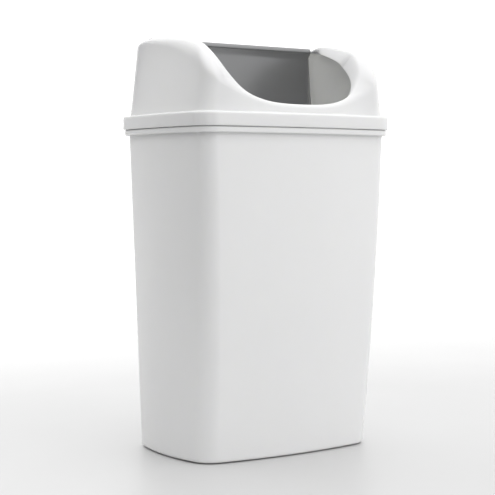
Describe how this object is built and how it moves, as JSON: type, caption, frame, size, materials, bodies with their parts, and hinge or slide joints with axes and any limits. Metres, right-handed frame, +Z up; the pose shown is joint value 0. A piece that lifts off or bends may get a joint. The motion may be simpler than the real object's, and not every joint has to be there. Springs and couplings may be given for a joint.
{
  "type": "waste bin",
  "caption": "Tall tapering moulded waste bin with an open, lift-off hood: rounded side humps, low front lip and a dark screen across the back of the mouth.",
  "frame": {"origin": "on the floor under the middle of the hood's skirt, the widest band of the bin", "axes": "+X to the bin's own left-to-right as seen from the front, +Y towards the flat back, +Z up; the front with its low lip faces -Y"},
  "size_m": [0.41, 0.29, 0.705],
  "materials": {
    "tub": "satin gloss white moulding",
    "hood": "satin gloss white moulding",
    "screen": "glossy dark grey moulding",
    "bag_ring": "matt light grey moulding",
    "screws": "bright zinc plated",
    "foot_pads": "matt black"
  },
  "bodies": {
    "tub": {"tub": "tub", "foot_pad_front_left": "foot_pads", "foot_pad_front_right": "foot_pads", "foot_pad_rear_left": "foot_pads", "foot_pad_rear_right": "foot_pads"},
    "bag_ring": {"bag_ring": "bag_ring"},
    "hood": {"hood": "hood", "screen": "screen", "screen_screw_left_low": "screws", "screen_screw_left_high": "screws", "screen_screw_right_low": "screws", "screen_screw_right_high": "screws"}
  },
  "joints": [
    {"name": "hood_lift", "type": "slide", "parent": "tub", "child": "hood", "axis": [0, 0, 1], "range_m": [0, 0.2]},
    {"name": "bag_ring_lift", "type": "slide", "parent": "tub", "child": "bag_ring", "axis": [0, 0, 1], "range_m": [0, 0.1]}
  ],
  "couplings": [
    {"joint": "bag_ring_lift", "follows": "hood_lift", "ratio": 0.5}
  ]
}
